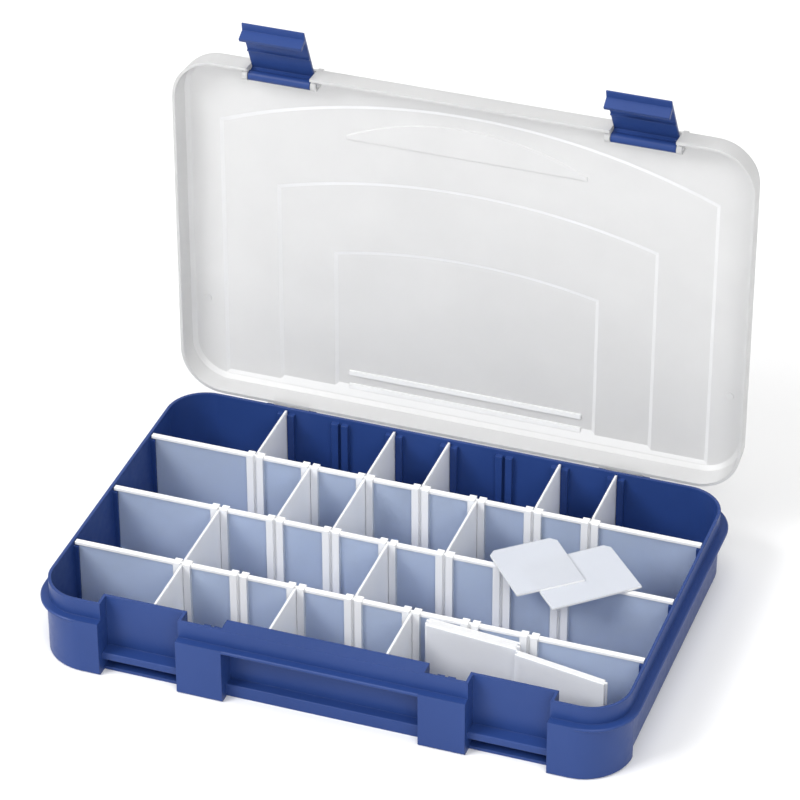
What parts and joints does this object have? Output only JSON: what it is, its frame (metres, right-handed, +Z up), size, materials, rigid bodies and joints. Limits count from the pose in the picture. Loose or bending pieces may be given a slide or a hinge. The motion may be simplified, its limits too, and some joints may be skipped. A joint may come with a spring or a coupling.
{
  "type": "compartment storage box",
  "caption": "Shallow plastic box with a hinged translucent lid, swing latches and lift-out dividers that slide in moulded slots to form compartments for small parts.",
  "frame": {"origin": "centre of the tray's flat underside", "axes": "+X along the long side, to the right seen from the latches; +Y towards the hinge; +Z up"},
  "size_m": [0.3544, 0.2536, 0.3025],
  "materials": {
    "blue_plastic": "satin moulded polypropylene",
    "lid_clear": "translucent frosted moulded polypropylene",
    "divider_clear": "translucent moulded polypropylene sheet"
  },
  "bodies": {
    "tray": {"base_tray": "blue_plastic"},
    "lid": {"lid": "lid_clear"},
    "latch_left": {"latch_left": "blue_plastic"},
    "latch_right": {"latch_right": "blue_plastic"},
    "long_divider_rear": {"long_divider_rear": "divider_clear"},
    "long_divider_middle": {"long_divider_middle": "divider_clear"},
    "long_divider_front": {"long_divider_front": "divider_clear"},
    "cross_rear_1": {"cross_rear_1": "divider_clear"},
    "cross_rear_3": {"cross_rear_3": "divider_clear"},
    "cross_rear_4": {"cross_rear_4": "divider_clear"},
    "cross_rear_6": {"cross_rear_6": "divider_clear"},
    "cross_rear_7": {"cross_rear_7": "divider_clear"},
    "cross_second_2": {"cross_second_2": "divider_clear"},
    "cross_second_3": {"cross_second_3": "divider_clear"},
    "cross_second_5": {"cross_second_5": "divider_clear"},
    "cross_third_1": {"cross_third_1": "divider_clear"},
    "cross_third_4": {"cross_third_4": "divider_clear"},
    "cross_front_1": {"cross_front_1": "divider_clear"},
    "cross_front_3": {"cross_front_3": "divider_clear"},
    "cross_front_5": {"cross_front_5": "divider_clear"},
    "spare_divider_1": {"spare_divider_1": "divider_clear"},
    "spare_divider_2": {"spare_divider_2": "divider_clear"},
    "spare_divider_3": {"spare_divider_3": "divider_clear"},
    "spare_divider_4": {"spare_divider_4": "divider_clear"},
    "spare_divider_5": {"spare_divider_5": "divider_clear"},
    "spare_divider_6": {"spare_divider_6": "divider_clear"},
    "spare_divider_7": {"spare_divider_7": "divider_clear"},
    "spare_divider_8": {"spare_divider_8": "divider_clear"},
    "loose_divider_lower": {"loose_divider_lower": "divider_clear"},
    "loose_divider_upper": {"loose_divider_upper": "divider_clear"}
  },
  "joints": [
    {"name": "lid_hinge", "type": "hinge", "parent": "tray", "child": "lid", "pos_m": [0, 0.1188, 0.0376], "axis": [-1, 0, 0], "range_deg": [-90.5, 0]},
    {"name": "latch_left_pivot", "type": "hinge", "parent": "lid", "child": "latch_left", "pos_m": [-0.109, 0.12318, 0.26397], "axis": [-1, 0, 0], "range_deg": [-65.5, 24.5]},
    {"name": "latch_right_pivot", "type": "hinge", "parent": "lid", "child": "latch_right", "pos_m": [0.109, 0.12318, 0.26397], "axis": [-1, 0, 0], "range_deg": [-58.5, 31.5]},
    {"name": "long_divider_rear_lift", "type": "slide", "parent": "tray", "child": "long_divider_rear", "axis": [0, 0, 1], "range_m": [0, 0.047]},
    {"name": "long_divider_middle_lift", "type": "slide", "parent": "tray", "child": "long_divider_middle", "axis": [0, 0, 1], "range_m": [0, 0.047]},
    {"name": "long_divider_front_lift", "type": "slide", "parent": "tray", "child": "long_divider_front", "axis": [0, 0, 1], "range_m": [0, 0.047]},
    {"name": "cross_rear_1_lift", "type": "slide", "parent": "tray", "child": "cross_rear_1", "axis": [0, 0, 1], "range_m": [0, 0.047]},
    {"name": "cross_rear_3_lift", "type": "slide", "parent": "tray", "child": "cross_rear_3", "axis": [0, 0, 1], "range_m": [0, 0.047]},
    {"name": "cross_rear_4_lift", "type": "slide", "parent": "tray", "child": "cross_rear_4", "axis": [0, 0, 1], "range_m": [0, 0.047]},
    {"name": "cross_rear_6_lift", "type": "slide", "parent": "tray", "child": "cross_rear_6", "axis": [0, 0, 1], "range_m": [0, 0.047]},
    {"name": "cross_rear_7_lift", "type": "slide", "parent": "tray", "child": "cross_rear_7", "axis": [0, 0, 1], "range_m": [0, 0.047]},
    {"name": "cross_second_2_lift", "type": "slide", "parent": "tray", "child": "cross_second_2", "axis": [0, 0, 1], "range_m": [0, 0.047]},
    {"name": "cross_second_3_lift", "type": "slide", "parent": "tray", "child": "cross_second_3", "axis": [0, 0, 1], "range_m": [0, 0.047]},
    {"name": "cross_second_5_lift", "type": "slide", "parent": "tray", "child": "cross_second_5", "axis": [0, 0, 1], "range_m": [0, 0.047]},
    {"name": "cross_third_1_lift", "type": "slide", "parent": "tray", "child": "cross_third_1", "axis": [0, 0, 1], "range_m": [0, 0.047]},
    {"name": "cross_third_4_lift", "type": "slide", "parent": "tray", "child": "cross_third_4", "axis": [0, 0, 1], "range_m": [0, 0.047]},
    {"name": "cross_front_1_lift", "type": "slide", "parent": "tray", "child": "cross_front_1", "axis": [0, 0, 1], "range_m": [0, 0.047]},
    {"name": "cross_front_3_lift", "type": "slide", "parent": "tray", "child": "cross_front_3", "axis": [0, 0, 1], "range_m": [0, 0.047]},
    {"name": "cross_front_5_lift", "type": "slide", "parent": "tray", "child": "cross_front_5", "axis": [0, 0, 1], "range_m": [0, 0.047]},
    {"name": "spare_divider_1_lift", "type": "slide", "parent": "tray", "child": "spare_divider_1", "axis": [0, 0, 1], "range_m": [0, 0.047]},
    {"name": "spare_divider_2_lift", "type": "slide", "parent": "tray", "child": "spare_divider_2", "axis": [0, 0, 1], "range_m": [0, 0.047]},
    {"name": "spare_divider_3_lift", "type": "slide", "parent": "tray", "child": "spare_divider_3", "axis": [0, 0, 1], "range_m": [0, 0.047]},
    {"name": "spare_divider_4_lift", "type": "slide", "parent": "tray", "child": "spare_divider_4", "axis": [0, 0, 1], "range_m": [0, 0.047]},
    {"name": "spare_divider_5_lift", "type": "slide", "parent": "tray", "child": "spare_divider_5", "axis": [0, 0, 1], "range_m": [0, 0.047]},
    {"name": "spare_divider_6_lift", "type": "slide", "parent": "tray", "child": "spare_divider_6", "axis": [0, 0, 1], "range_m": [0, 0.047]},
    {"name": "spare_divider_7_lift", "type": "slide", "parent": "tray", "child": "spare_divider_7", "axis": [0, 0, 1], "range_m": [0, 0.047]},
    {"name": "spare_divider_8_lift", "type": "slide", "parent": "tray", "child": "spare_divider_8", "axis": [0, 0, 1], "range_m": [0, 0.047]},
    {"name": "loose_divider_lower_lift", "type": "slide", "parent": "long_divider_middle", "child": "loose_divider_lower", "axis": [0, 0, 1], "range_m": [0, 0.03]},
    {"name": "loose_divider_upper_lift", "type": "slide", "parent": "loose_divider_lower", "child": "loose_divider_upper", "axis": [0, 0, 1], "range_m": [0, 0.03]}
  ]
}
